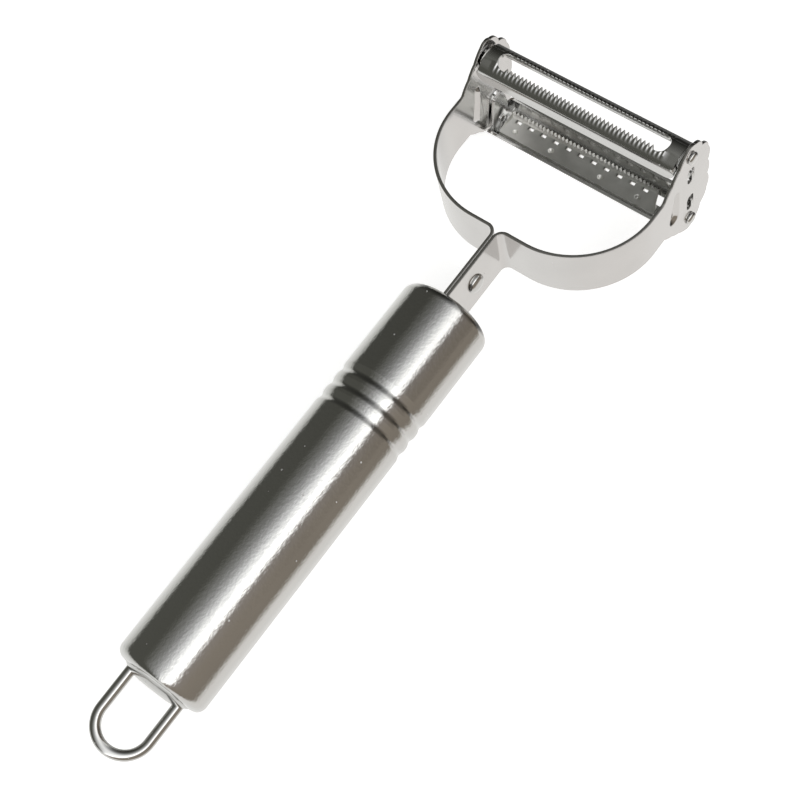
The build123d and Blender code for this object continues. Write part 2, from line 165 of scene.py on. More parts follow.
def connect(tree, *links):
    """Makes one link for each row of (node, output, node, input)."""
    for source, outlet, target, inlet in links:
        tree.links.new(source.outputs[outlet], target.inputs[inlet])


# %% Room of light and dark
world = bpy.data.worlds.new("studio")
world.use_nodes = True
bpy.context.scene.world = world
bpy.context.scene.view_settings.view_transform = "Standard"

tree = world.node_tree
tree.nodes.clear()
direction = add_node(tree, "ShaderNodeTexCoord")
parts = add_node(tree, "ShaderNodeSeparateXYZ")
angle = add_node(tree, "ShaderNodeMath", operation="ARCTAN2")
share = map_range(tree, (-pi, pi), (0, 1))
stripes = add_node(tree, "ShaderNodeValToRGB")
room = add_node(tree, "ShaderNodeBackground")
backdrop = add_node(tree, "ShaderNodeBackground", Color=backdrop_color)
ray = add_node(tree, "ShaderNodeLightPath")
mix = add_node(tree, "ShaderNodeMixShader")
output = add_node(tree, "ShaderNodeOutputWorld")
up_fade = map_range(tree, up_fade_span, (1, up_light_left))
down_fade = map_range(tree, down_fade_span, (1, down_light_left), interpolation_type="SMOOTHSTEP")
is_up = add_node(tree, "ShaderNodeMath", operation="GREATER_THAN")
is_up.inputs[1].default_value = 0.0
fade = add_node(tree, "ShaderNodeMix")
connect(
    tree,
    (direction, "Generated", parts, 0),
    (parts, "X", angle, 0),
    (parts, "Z", angle, 1),
    (angle, 0, share, "Value"),
    (share, "Result", stripes, "Fac"),
    (stripes, "Color", room, "Color"),
    (ray, "Is Camera Ray", mix, 0),
    (room, 0, mix, 1),
    (backdrop, 0, mix, 2),
    (mix, 0, output, "Surface"),
    (parts, "Y", up_fade, "Value"),
    (parts, "Y", down_fade, "Value"),
    (parts, "Z", is_up, 0),
    (is_up, 0, fade, "Factor"),
    (down_fade, "Result", fade, "A"),
    (up_fade, "Result", fade, "B"),
    (fade, "Result", room, "Strength"),
)

ramp = stripes.color_ramp
while len(ramp.elements) < len(room_stripes):
    ramp.elements.new(0.5)
for element, (degrees_round, color) in zip(ramp.elements, room_stripes):
    element.position = (degrees_round + 180) / 360
    element.color = (*color, 1)
print("nodes of the studio:", len(tree.nodes))

# %% [markdown]
# ## Floor
#
# A plain pale sheet under the object. It glows a little, as a lit backdrop does, so the shadow under the
# handle stays as faint as in the photograph. Reflections pass through it to the room, whose lower half is as
# bright.

# %% Floor
floor_half_size = 3000.0
floor_drop = 0.1
floor_glow = 0.76


def link_mesh(name, points, triangles):
    """Mesh object from points in millimetres and rows of corner numbers, with smooth shading."""
    mesh = bpy.data.meshes.new(name)
    mesh.from_pydata((points * MM).tolist(), [], triangles.tolist())
    mesh.shade_smooth()
    piece = bpy.data.objects.new(name, mesh)
    bpy.context.scene.collection.objects.link(piece)
    return piece


corner_signs = np.array(((-1, -1), (1, -1), (1, 1), (-1, 1)))
floor_points = np.column_stack((corner_signs * floor_half_size, np.full(4, cad_low.z / MM - floor_drop)))
floor = link_mesh("floor", floor_points, np.array(((0, 1, 2), (0, 2, 3))))
floor.visible_glossy = False
floor_paint = bpy.data.materials.new("floor_paint")
floor_paint.use_nodes = True
floor_shader = floor_paint.node_tree.nodes["Principled BSDF"]
floor_shader.inputs["Base Color"].default_value = (0.85, 0.85, 0.85, 1)
floor_shader.inputs["Roughness"].default_value = 0.9
floor_shader.inputs["Specular IOR Level"].default_value = 0.1
floor_shader.inputs["Emission Color"].default_value = (1, 1, 1, 1)
floor_shader.inputs["Emission Strength"].default_value = floor_glow
floor.data.materials.append(floor_paint)
print("floor height in mm:", round(float(floor_points[0, 2]), 2))

# %% [markdown]
# ## Steel finishes
#
# All pieces are stainless steel, but each was worked in its own way: the tube polished round and round, the
# strips satin from the rolling mill, the blades ground along their length, the comb left dull. Each finish is
# the same small set of nodes with its own numbers: a fine grain stretched along the working direction for
# bump and gloss, and large soft clouds that vary colour and gloss as handling marks do. Sparse specks of dust
# break up the even metal.

# %% Finish of steel
# noise value where the darker clouds end and where the plain colour starts
cloud_span = (0.3, 0.7)
# grain plus clouds at the glossier and at the duller end
blend_span = (0.6, 1.4)
# cells of dust per metre, and the share of a cell's width where dust ends and bare metal starts
speck_cells = 260.0
speck_edge = (0.05, 0.06)


def steel(name, color, gloss, grain_scale, grain_stretch, grain_depth, cloud_scale, cloud_share):
    """Metal whose roughness lies between the two values of gloss, after grain and clouds.

    The grain is noise with grain_scale cells per metre along X, Y and Z times grain_stretch, and the bump
    takes it as grain_depth millimetres high. The clouds are noise with cloud_scale cells per metre that
    darken the colour by up to cloud_share. Close to the centres of a loose cell pattern the surface isn't
    bare metal: these are specks of dust, less than half a millimetre wide.
    """
    finish = bpy.data.materials.new(name)
    finish.use_nodes = True
    tree = finish.node_tree
    shader = tree.nodes["Principled BSDF"]
    place = add_node(tree, "ShaderNodeTexCoord")
    stretch = add_node(tree, "ShaderNodeMapping", Scale=grain_stretch)
    grain = add_node(tree, "ShaderNodeTexNoise", Scale=grain_scale, Detail=4.0, Roughness=0.6)
    clouds = add_node(tree, "ShaderNodeTexNoise", Scale=cloud_scale, Detail=3.0, Roughness=0.55)
    tint = add_node(tree, "ShaderNodeValToRGB")
    for element, position, light in zip(tint.color_ramp.elements, cloud_span, (1 - cloud_share, 1)):
        element.position = position
        element.color = (*[value * light for value in color], 1)
    both = add_node(tree, "ShaderNodeMath", operation="ADD")
    gloss_range = map_range(tree, blend_span, gloss)
    specks = add_node(tree, "ShaderNodeTexVoronoi", Scale=speck_cells)
    is_metal = map_range(tree, speck_edge, (0, 1))
    bump = add_node(tree, "ShaderNodeBump", Strength=1.0, Distance=grain_depth * MM)
    connect(
        tree,
        (place, "Object", stretch, "Vector"),
        (stretch, "Vector", grain, "Vector"),
        (place, "Object", clouds, "Vector"),
        (place, "Object", specks, "Vector"),
        (specks, "Distance", is_metal, "Value"),
        (is_metal, "Result", shader, "Metallic"),
        (clouds, "Fac", tint, "Fac"),
        (tint, "Color", shader, "Base Color"),
        (grain, "Fac", both, 0),
        (clouds, "Fac", both, 1),
        (both, 0, gloss_range, "Value"),
        (gloss_range, "Result", shader, "Roughness"),
        (grain, "Fac", bump, "Height"),
        (bump, "Normal", shader, "Normal"),
    )
    return finish


# name, colour, gloss, grain scale, stretch and depth, cloud scale and share
polished_tube = steel("polished_tube", (0.67, 0.67, 0.66), (0.05, 0.12), 1500, (1, 0.8, 1), 0.045, 60, 0.05)
pressed_cap = steel("pressed_cap", (0.62, 0.62, 0.61), (0.10, 0.24), 1500, (1, 1, 1), 0.0015, 200, 0.10)
bright_wire = steel("bright_wire", (0.68, 0.68, 0.67), (0.06, 0.16), 1800, (1, 0.2, 1), 0.0012, 150, 0.08)
satin_strip = steel("satin_strip", (0.68, 0.67, 0.66), (0.10, 0.22), 2500, (0.15, 0.15, 1), 0.0012, 90, 0.06)
rivet_steel = steel("rivet_steel", (0.66, 0.66, 0.65), (0.10, 0.22), 2500, (1, 1, 1), 0.0015, 300, 0.08)
ground_blade = steel("ground_blade", (0.68, 0.68, 0.67), (0.10, 0.24), 3000, (0.06, 1, 1), 0.0016, 120, 0.07)
# the comb's steel is painted lighter than the other pieces' steel: painted light that stands in for the light
# it catches inside the lower arch
dull_comb_painted_light = steel("dull_comb_painted_light", (0.86, 0.86, 0.83), (0.30, 0.46), 2500, (0.2, 1, 1), 0.0020, 200, 0.12)
polished_pin = steel("polished_pin", (0.68, 0.68, 0.67), (0.06, 0.16), 2500, (1, 1, 1), 0.0010, 400, 0.06)
print("nodes in each finish:", len(polished_pin.node_tree.nodes))

# %% [markdown]
# ## Turned and drawn pieces
#
# The tube, the caps, the pins and the rivets are round, and the loop is a wire. Each is a grid of points: a
# profile turned about an axis, or a ring carried along a path. A grid that closes on itself, or whose ends
# shrink to a point, is a closed skin.


# %% Grid helpers
# faces that meet at more than this angle in degrees keep a sharp edge, and points weld at 0.00001 mm
sharp_turn = 38
weld_decimals = 5


def cell_triangles(ids):
    """Two triangles for each cell of a grid of point numbers."""
    a, b, c, d = ids[:-1, :-1], ids[1:, :-1], ids[1:, 1:], ids[:-1, 1:]
    return np.concatenate([np.stack(corners, -1).reshape(-1, 3) for corners in ((a, b, c), (a, c, d))])


def grid_shell(points, closed_rows):
    """Triangles over a grid of points. The last column joins the first; the last row too if closed_rows."""
    rows, columns = points.shape[:2]
    ids = np.arange(rows * columns).reshape(rows, columns)
    ids = np.hstack((ids, ids[:, :1]))
    if closed_rows:
        ids = np.vstack((ids, ids[:1]))
    return facing_out(points.reshape(-1, 3), cell_triangles(ids))


def facing_out(points, triangles):
    """Welds equal points, drops triangles without area, and turns all faces outwards.

    A closed skin's volume is the sum of the corner products a . (b x c) / 6. It is negative when the faces
    look inwards.
    """
    keys = np.round(points, weld_decimals)
    _, first, back = np.unique(keys, axis=0, return_index=True, return_inverse=True)
    points = points[first]
    triangles = back.reshape(-1)[triangles]
    a, b, c = triangles.T
    triangles = triangles[(a != b) & (b != c) & (c != a)]
    a, b, c = (points[column] for column in triangles.T)
    if (a * np.cross(b, c)).sum() < 0:
        triangles = triangles[:, ::-1]
    return points, triangles


def join(*shells):
    """Puts several skins into one set of points and triangles."""
    offsets = np.cumsum([0] + [len(points) for points, _ in shells[:-1]])
    points = np.concatenate([points for points, _ in shells])
    triangles = np.concatenate([triangles + offset for (_, triangles), offset in zip(shells, offsets)])
    return points, triangles


def arc(center, radius, start, end, steps):
    """Points on an arc between two angles in degrees."""
    angles = np.radians(np.linspace(start, end, steps + 1))
    return np.column_stack((center[0] + radius * np.cos(angles), center[1] + radius * np.sin(angles)))


def turned(profile, steps, closed):
    """Turns a profile of (distance from the axis, place along it) about Y: x = r sin a, z = r cos a."""
    angles = np.linspace(0, 2 * pi, steps, endpoint=False)
    radius, along = profile[:, :1], profile[:, 1:]
    ring = np.stack((radius * np.sin(angles), along + 0 * angles, radius * np.cos(angles)), -1)
    return grid_shell(ring, closed)


def dress(name, shell, body, slot, finish, *nodes):
    """Makes the piece that stands for the given nodes: skin, body and finish. The slot is not used."""
    piece = link_mesh(name, *shell)
    piece.data.set_sharp_from_angle(angle=radians(sharp_turn))
    piece.data.materials.append(finish)
    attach(piece, body)
    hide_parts(*nodes)
    print(name, "triangles:", len(shell[1]))


# %% [markdown]
# ## Handle tube
#
# A drawn tube with three rolled grooves. A roller leaves a rounded valley, not a cut, so each groove is a
# smooth dip: its depth times the square of a cosine, which starts and ends without an edge. The shoulders
# are quarter circles, and the wall turns in at both mouths. Rows of points are needed only where the profile
# bends, so the straight part keeps one row in ten.

# %% Handle tube
tube_low, tube_high = node_box("handle_tube")
tube_radius = tube_high[0]
rear_y, front_y = tube_low[1], tube_high[1]
tube_wall = 0.8
shoulder_radius = 2.4
shoulder_steps = 16
mouth_radius = tube_radius - shoulder_radius
groove_places = (34.3, 38.05, 41.8)
groove_half_width = 1.6
groove_depth = 0.40
bore_radius = tube_radius - tube_wall - groove_depth
row_step = 0.1
# rows go on close together this far past a groove or shoulder, so that the shading of the bend ends there
close_reach = 0.5
plain_rows = 10

skin_y = np.arange(rear_y + shoulder_radius, front_y - shoulder_radius, row_step)
nearest_groove = np.abs(skin_y[:, None] - np.array(groove_places)).min(axis=1)
nearest_shoulder = np.minimum(skin_y - skin_y[0], skin_y[-1] - skin_y)
dip = groove_depth * np.cos(np.clip(nearest_groove / groove_half_width, 0, 1) * pi / 2) ** 2
close = (nearest_groove < groove_half_width + close_reach) | (nearest_shoulder < close_reach)
keep = close | (np.arange(len(skin_y)) % plain_rows == 0)
tube_profile = np.concatenate((
    ((mouth_radius, rear_y + tube_wall), (mouth_radius, rear_y)),
    arc((mouth_radius, rear_y + shoulder_radius), shoulder_radius, -90, 0, shoulder_steps)[1:],
    np.column_stack((tube_radius - dip, skin_y))[keep][1:],
    arc((mouth_radius, front_y - shoulder_radius), shoulder_radius, 0, 90, shoulder_steps),
    ((mouth_radius, front_y - tube_wall), (bore_radius, front_y - shoulder_radius)),
    ((bore_radius, rear_y + shoulder_radius),),
))
tube_shell = turned(tube_profile, 256, True)
dress("handle_skin", tube_shell, "frame", "handle_steel", polished_tube, "handle_tube")

# %% [markdown]
# ## Rear cap and wire loop
#
# The cap is a pressed disc, a little domed: flat in the middle, and falling off close to its edge as the
# fourth power of the distance does. The loop is one wire whose legs go through the cap: a ring of points is
# carried along straight, half circle and straight again, and the plane of the loop is turned about the
# handle, as in the photograph.

# %% Rear cap
cap_low, cap_high = node_box("handle_rear_cap")
cap_edge_gap = 0.35
cap_chamfer = 0.25
cap_radius = mouth_radius - cap_edge_gap
dome_height = rear_y - cap_low[1]
dome_share = np.linspace(0, 1, 24)
dome = np.column_stack((cap_radius * dome_share, cap_low[1] + dome_height * dome_share**4))
flange_y = rear_y + tube_wall
flange = ((cap_radius, flange_y), (cap_high[0], flange_y + cap_chamfer), (cap_high[0], cap_high[1]))
cap_profile = np.concatenate((dome, flange, ((0, cap_high[1]),)))
dress("rear_cap", turned(cap_profile, 128, False), "frame", "cap_steel", pressed_cap, "handle_rear_cap")
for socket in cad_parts["handle_front_cap"].material_slots:
    socket.material = pressed_cap

# %% Hanging loop
loop_low, loop_high = node_box("hanging_loop")
wire_radius = 1.25
loop_radius = 6.1
loop_turn = radians(22)
loop_center_y = loop_low[1] + loop_radius + wire_radius
leg_steps = 12
leg = np.linspace(loop_high[1], loop_center_y, leg_steps)
half_ring = arc((0, loop_center_y), loop_radius, 180, 360, 64)
path = np.concatenate((
    np.column_stack((np.full(leg_steps, -loop_radius), leg)),
    half_ring[1:-1],
    np.column_stack((np.full(leg_steps, loop_radius), leg[::-1])),
))
heading = np.gradient(path, axis=0)
heading /= np.linalg.norm(heading, axis=1, keepdims=True)
ring_angles = np.linspace(0, 2 * pi, 40, endpoint=False)
across = path[:, None, :] + wire_radius * np.cos(ring_angles)[:, None] * np.stack(
    (heading[:, 1], -heading[:, 0]), -1)[:, None, :]
height = np.broadcast_to(wire_radius * np.sin(ring_angles), across.shape[:2])
wire = np.stack((
    across[..., 0] * np.cos(loop_turn) + height * np.sin(loop_turn),
    across[..., 1],
    -across[..., 0] * np.sin(loop_turn) + height * np.cos(loop_turn),
), -1)
wire_ends = wire[[0, -1]].mean(axis=1, keepdims=True) + np.zeros_like(wire[[0, -1]])
wire = np.concatenate((wire_ends[:1], wire, wire_ends[1:]))
dress("wire_loop", grid_shell(wire, False), "frame", "wire_steel", bright_wire, "hanging_loop")

# %% [markdown]
# ## Sheet pieces
#
# Strips, end plates, blades and comb are all stamped from sheet. Each is built as it was made: a flat
# outline with holes, filled with triangles, given its thickness with a small rounding along every edge, and
# then bent. The bend is a function that takes a point of the flat blank and its height in the sheet to its
# place in space, so each sheet piece below only brings its own outline and bend.

# %% Sheet helpers
# rounding of a stamped edge, width of the flat row beside it, and least share that a corner's bisector keeps
edge_rounding = 0.12
support_width = 0.05
least_miter = 0.6


def inset(loop, distance):
    """Moves a closed loop of points to its left, which is into the sheet, along the corners' bisectors."""
    before = loop - np.roll(loop, 1, axis=0)
    after = np.roll(loop, -1, axis=0) - loop
    before /= np.linalg.norm(before, axis=1, keepdims=True)
    after /= np.linalg.norm(after, axis=1, keepdims=True)
    side = before + after
    side /= np.maximum(np.linalg.norm(side, axis=1, keepdims=True), 1e-6)
    left = np.column_stack((-side[:, 1], side[:, 0]))
    stretch = np.maximum((side * before).sum(axis=1, keepdims=True), least_miter)
    return loop + left * np.reshape(distance, (-1, 1)) / stretch


def rim(loop, thickness, rounding):
    """Rows round a sheet's edge: from the upper face over a quarter circle, the wall and another one down."""
    angles = np.linspace(0, pi / 2, 5)
    rows = [(rounding + support_width, thickness / 2)]
    rows += [(rounding * (1 - np.sin(a)), thickness / 2 - rounding * (1 - np.cos(a))) for a in angles]
    rows += [(distance, -level) for distance, level in rows[::-1]]
    return np.stack([np.column_stack((inset(loop, distance), np.broadcast_to(level, len(loop))))
                     for distance, level in rows])


def inside(points, loops, margin):
    """Whether points lie in the outline but in no hole (odd number of crossings), and off every edge."""
    odd = np.zeros(len(points), bool)
    clear = np.ones(len(points), bool)
    for loop in loops:
        after = np.roll(loop, -1, axis=0)
        for (x0, y0), (x1, y1) in zip(loop, after):
            crosses = (y0 > points[:, 1]) != (y1 > points[:, 1])
            if y1 != y0:
                odd ^= crosses & (points[:, 0] < (x1 - x0) * (points[:, 1] - y0) / (y1 - y0) + x0)
            edge = np.array((x1 - x0, y1 - y0))
            share_along = np.clip(((points - (x0, y0)) @ edge) / (edge @ edge), 0, 1)
            clear &= np.hypot(*(points - (x0, y0) - share_along[:, None] * edge).T) > margin
    return odd & clear


def sheet_shell(loops, filling, thickness, rounding, bend, margin=0.12):
    """Closed skin of a sheet: rims round every loop, and both faces filled with triangles, then bent.

    Filling points closer to an edge than margin are left out. The triangulation also fills the holes, so a
    triangle whose middle lies in a hole or beyond the outline is dropped.
    """
    rims = [rim(loop, thickness, rounding) for loop in loops]
    supports = [rows[0, :, :2] for rows in rims]
    filling = filling[inside(filling, supports, margin)]
    flat = np.concatenate(supports + [filling])
    starts = np.cumsum([0] + [len(loop) for loop in supports])
    edges = np.concatenate([
        np.column_stack((np.arange(first, last), np.r_[np.arange(first + 1, last), first]))
        for first, last in zip(starts[:-1], starts[1:])
    ])
    output_kind, weld_distance = 4, 1e-6
    _, _, faces, sources, _, _ = delaunay_2d_cdt(
        flat.tolist(), edges.tolist(), [], output_kind, weld_distance)
    faces = np.array([source[0] for source in sources])[np.array(faces)]
    faces = faces[inside(flat[faces].mean(axis=1), supports, -1)]
    upper_ids, lower_ids, points, triangles, offset = [], [], [], [], 0
    for rows in rims:
        count = rows.shape[1]
        ids = np.arange(rows.shape[0] * count).reshape(-1, count) + offset
        triangles.append(cell_triangles(np.hstack((ids, ids[:, :1]))))
        upper_ids.append(ids[0])
        lower_ids.append(ids[-1])
        points.append(rows.reshape(-1, 3))
        offset += rows.shape[0] * count
    for ids, level in ((upper_ids, thickness / 2), (lower_ids, -thickness / 2)):
        ids.append(np.arange(len(filling)) + offset)
        points.append(np.column_stack((filling, np.full(len(filling), level))))
        offset += len(filling)
    triangles += [np.concatenate(upper_ids)[faces], np.concatenate(lower_ids)[faces][:, ::-1]]
    flat_points = np.concatenate(points)
    return facing_out(np.stack(bend(*flat_points.T), -1), np.concatenate(triangles))


def crossing(along, across):
    """All points of a grid given by its two sets of lines."""
    return np.stack(np.meshgrid(along, across, indexing="ij"), -1).reshape(-1, 2)


# %% [markdown]
# ## Frame strips
#
# Each strip is one blank: tang, neck, arm and toothed end plate, with holes for two rivets, two pins and two
# stop tabs. The teeth are round, and nearly flat on the plate's two rear edges. The strip is bent along a
# path that is known by its heading: straight, a tight turn outwards, a short flat, a wide turn back and
# straight again. Adding up the heading step by step gives the path, so one table of headings replaces all the
# corner geometry. The pressed drop in the arm is a smooth dent in the same function.

# %% Flat blank of a strip
strip_low, _ = node_box("right_frame_strip")
sheet_thickness = 0.8
strip_half_width = 7.5
neck_x = sheet_thickness / 2
tang_start_y = strip_low[1]
# distances from the handle's front to the line of the pins and to the far face of the tight turn
head_distance = 54.4
shoulder_distance = 19.8
head_y = front_y + head_distance
shoulder_y = front_y + shoulder_distance
tight_radius = 2.2
flat_end_x = 7.3
wide_radius = 20.0
arm_x = flat_end_x + wide_radius
arm_allowance = 60.0
path_steps = 20000

turn_marks = np.cumsum((
    0,
    shoulder_y - tight_radius - tang_start_y,
    tight_radius * pi / 2,
    flat_end_x - neck_x - tight_radius,
    wide_radius * pi / 2,
    arm_allowance,
))
fine_length = np.linspace(0, turn_marks[-1], path_steps + 1)
heading_angle = np.interp(fine_length, turn_marks, np.array((0, 0, pi / 2, pi / 2, 0, 0)))
fine_step = fine_length[1]
path_x = neck_x + np.cumsum(np.sin(heading_angle)) * fine_step
path_y = tang_start_y + np.cumsum(np.cos(heading_angle)) * fine_step
arm_length = turn_marks[4]
arm_start_y = np.interp(arm_length, fine_length, path_y)
print("arm starts at y =", round(float(arm_start_y), 2), "head line at", round(float(head_y), 2))


def on_blank(y):
    """Length along the blank for a place on the straight arm."""
    return arm_length + y - arm_start_y


# %% Toothed outline
# the end plate starts behind the line of the pins, is highest along its crown and ends in front of the line
plate_rear, plate_front, crown_half_length = 10.5, 7.0, 1.7
plate_start, front_corner = on_blank(head_y - plate_rear), on_blank(head_y + plate_front)
crown_rear, crown_front = on_blank(head_y - crown_half_length), on_blank(head_y + crown_half_length)
plate_half_height = 15.8
plate_front_half = 8.4
tooth_rise = 0.75
rear_tooth_rise = 0.2
edge_steps = 200
# the upper edge's points are shifted a little, so that the last one stays off the corner
edge_shift = 0.2


def teeth(start, end, count, rise=tooth_rise, steps=14):
    """Round teeth between two corners: each is a circle's arc over its chord that swells out by its rise."""
    chord = (np.array(end) - start) / count
    length = np.hypot(*chord)
    radius = (length**2 / 4 + rise**2) / (2 * rise)
    half = np.arcsin(length / 2 / radius)
    turns = np.linspace(-half, half, steps, endpoint=False)
    outward = np.array((chord[1], -chord[0])) / length
    one = ((np.sin(turns) * radius + length / 2)[:, None] * chord / length
           + (np.cos(turns) * radius - radius + rise)[:, None] * outward)
    return (np.array(start) + np.arange(count)[:, None, None] * chord + one).reshape(-1, 2)


def ring(center, radius, steps=48, stretch=0.0):
    """Hole, drawn clockwise so that the sheet lies on its left; stretch draws a slot across the strip."""
    angles = np.linspace(0, -2 * pi, steps, endpoint=False)
    loop = np.column_stack((np.cos(angles), np.sin(angles))) * radius + center
    loop[:, 1] += np.where(np.sin(angles) >= 0, stretch, -stretch)
    return loop


strip_edge_low = np.column_stack((
    np.linspace(0, plate_start, edge_steps, endpoint=False),
    np.full(edge_steps, -strip_half_width),
))
strip_outline = np.concatenate((
    strip_edge_low,
    teeth((plate_start, -strip_half_width), (crown_rear, -plate_half_height), 3, rear_tooth_rise),
    teeth((crown_rear, -plate_half_height), (crown_front, -plate_half_height), 1),
    teeth((crown_front, -plate_half_height), (front_corner, -plate_front_half), 2),
    teeth((front_corner, -plate_front_half), (front_corner, plate_front_half), 3),
    teeth((front_corner, plate_front_half), (crown_front, plate_half_height), 2),
    teeth((crown_front, plate_half_height), (crown_rear, plate_half_height), 1),
    teeth((crown_rear, plate_half_height), (plate_start, strip_half_width), 3, rear_tooth_rise),
    np.column_stack((strip_edge_low[::-1, 0] + edge_shift, np.full(edge_steps, strip_half_width))),
    np.array(((0, strip_half_width),)),
))
print("outline points:", len(strip_outline))

# %% Holes of a strip
head_place = on_blank(head_y)
# rivets: one in the neck before the handle's front, one in the tang behind it
neck_rivet_distance, tang_rivet_depth, rivet_hole_radius = 9.0, 12.0, 1.55
neck_rivet_place = front_y + neck_rivet_distance - tang_start_y
tang_rivet_place = front_y - tang_rivet_depth - tang_start_y
# pins and stop tabs: distance above and below the middle, and size of their holes
pin_z, pin_hole_radius = 12.6, 0.86
stop_z, stop_radius, stop_stretch = 5.5, 1.3, 1.3
strip_holes = [ring((place, 0), rivet_hole_radius) for place in (neck_rivet_place, tang_rivet_place)]
strip_holes += [ring((head_place, level), pin_hole_radius) for level in (pin_z, -pin_z)]
strip_holes += [ring((head_place, level), stop_radius, stretch=stop_stretch) for level in (stop_z, -stop_z)]
print("holes in a strip:", len(strip_holes))

# %% Bend the strip
drop_low = np.array((on_blank(head_y - 6.6), -3.9))
drop_high = np.array((on_blank(head_y - 5.6), 4.8))
drop_low_radius, drop_high_radius = 1.35, 0.4
drop_depth = 0.9
drop_wall = 1.2


def dent(along, across):
    """Depth of the pressed drop: full inside a drop shape, falling off smoothly over its wall.

    The drop is the hull of a large and a small circle: the nearest point on the line between their centres
    gives the distance, and the radius shrinks from one end of that line to the other.
    """
    axis = drop_high - drop_low
    along, across = along - drop_low[0], across - drop_low[1]
    share_along = np.clip((along * axis[0] + across * axis[1]) / (axis @ axis), 0, 1)
    distance = np.hypot(along - share_along * axis[0], across - share_along * axis[1])
    outside = distance - drop_low_radius - share_along * (drop_high_radius - drop_low_radius)
    fall = np.clip(0.5 - outside / drop_wall, 0, 1)
    return drop_depth * fall * fall * (3 - 2 * fall)


def bend_strip(along, across, level):
    """Place of a point of the blank: on the path, then out along the sheet's normal by its level."""
    angle = np.interp(along, fine_length, heading_angle)
    x = np.interp(along, fine_length, path_x)
    y = np.interp(along, fine_length, path_y)
    level = level - dent(along, across)
    return x + level * np.cos(angle), y - level * np.sin(angle), across


# lines across the blank: far apart where it stays flat, close together in the turns
path_lines = np.concatenate((
    np.arange(1, turn_marks[1], 3.0),
    np.linspace(turn_marks[1] - 0.3, turn_marks[2] + 0.3, 26),
    np.arange(turn_marks[2] + 0.8, turn_marks[3], 0.8),
    np.linspace(turn_marks[3], turn_marks[4], 90),
    np.arange(turn_marks[4] + 0.5, front_corner + 2, 1.0),
))
dent_step = 0.22
strip_filling = np.concatenate((
    crossing(path_lines, np.arange(-16.5, 16.6, 1.5)),
    crossing(np.arange(drop_low[0] - 3, drop_high[0] + 3, dent_step), np.arange(-6.6, 6.4, dent_step)),
))
strip_loops = [strip_outline] + strip_holes
strip_shell = sheet_shell(strip_loops, strip_filling, sheet_thickness, edge_rounding, bend_strip)
mirror_x = np.array((-1, 1, 1))
dress("right_strip", strip_shell, "frame", "strip_steel", satin_strip, "right_frame_strip")
left_shell = facing_out(strip_shell[0] * mirror_x, strip_shell[1])
dress("left_strip", left_shell, "frame", "strip_steel", satin_strip, "left_frame_strip")

# %% [markdown]
# ## Rivets and pins
#
# Small turned pieces with domed heads. A dome catches the bright panel in one spot and the dark wall round
# it, which is what makes such a head look like a bead. Its profile is therefore one smooth curve above a
# small rolled edge: the height follows a sine, and the radius a cosine to the power 0.7, which fills the
# shoulder.

# %% Rivets and pins
rolled_edge = 0.12
dome_power = 0.7


def headed(radius, shank, start, end, head_height, inner_radius, inner_height):
    """Profile of a pin: a flat inner head, a shank and a domed outer head that starts at end."""
    curve = np.linspace(0, pi / 2, 14)
    dome_radius = radius * np.cos(curve) ** dome_power
    dome_level = end + rolled_edge + (head_height - rolled_edge) * np.sin(curve)
    inner_end = start - inner_height
    return np.concatenate((
        ((0, inner_end), (inner_radius * 0.8, inner_end), (inner_radius, start - inner_height * 0.6)),
        ((inner_radius, start), (shank, start), (shank, end)),
        ((radius * 0.96, end), (radius, end + rolled_edge / 2)),
        np.column_stack((dome_radius, dome_level)),
    ))


def lay_along_x(shell, center, side):
    """Turns a piece made along Y so that it points to +X or -X, and moves it to its place."""
    points, triangles = shell
    placed = np.column_stack((side * points[:, 1], points[:, 0], points[:, 2])) + center
    return facing_out(placed, triangles)


turned_steps = 64
rivet_profile = headed(
    radius=2.4, shank=1.5, start=0.0, end=sheet_thickness,
    head_height=1.2, inner_radius=1.5, inner_height=0.001,
)
rivet_half = turned(rivet_profile, turned_steps, False)
rivet_place = np.array((0, front_y + neck_rivet_distance, 0))
neck_rivet = join(lay_along_x(rivet_half, rivet_place, 1), lay_along_x(rivet_half, rivet_place, -1))
dress("neck_rivet_heads", neck_rivet, "frame", "rivet_steel", rivet_steel, "neck_rivet")
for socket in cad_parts["tang_rivet"].material_slots:
    socket.material = rivet_steel

arm_outer_x = arm_x + sheet_thickness / 2
ear_gap = 0.35
blade_thickness = 0.8
ear_outer_x = arm_x - sheet_thickness / 2 - ear_gap
ear_inner_x = ear_outer_x - blade_thickness
inner_play, outer_play = 0.05, 0.15
pin_profile = headed(
    radius=1.6, shank=0.8, start=ear_inner_x - inner_play, end=arm_outer_x + outer_play,
    head_height=0.85, inner_radius=1.1, inner_height=0.5,
)
pin = turned(pin_profile, turned_steps, False)
for name, node, body, level in (
    ("peeler_pins", "peeling_blade_pins", "peeler", pin_z),
    ("julienne_pins", "julienne_blade_pins", "julienne", -pin_z),
):
    place = np.array((0, head_y, level))
    pins = join(lay_along_x(pin, place, 1), lay_along_x(pin, place, -1))
    dress(name, pins, body, "pin_steel", polished_pin, node)

# %% [markdown]
# ## Blades
#
# A blade is a sheet bent to an arch, with a long slot. The peeling blade's arch ends after 50 degrees to each
# side, and a tighter corner and a short straight skirt follow: the skirt mirrors the floor, which is the pale
# band along the blade's near edge. The julienne blade hangs below, upside down. Its arch stays round, and it
# reaches deeper on its far side, because the photograph shows no background between the two blades.
#
# The edges of the peeling blade's slot are ground to fine teeth. On the flat blank they are a zigzag in the
# slot's outline, and the grinding wheel's marks run from each tooth up the sheet's outer face, so they are
# drawn as shallow grooves that deepen towards the edge.

# %% Blade blank
arch_shift = 0.9
arch_top_z = 14.7
arch_y = head_y - arch_shift
arch_radius = 5.4
arch_center_z = arch_top_z - arch_radius
arch_middle = arch_radius - blade_thickness / 2
tooth_pitch = 1.05


def across_arch(plan):
    """Length along the bent sheet for a distance in plan from the arch's middle line."""
    return arch_middle * np.arcsin(plan / arch_radius)


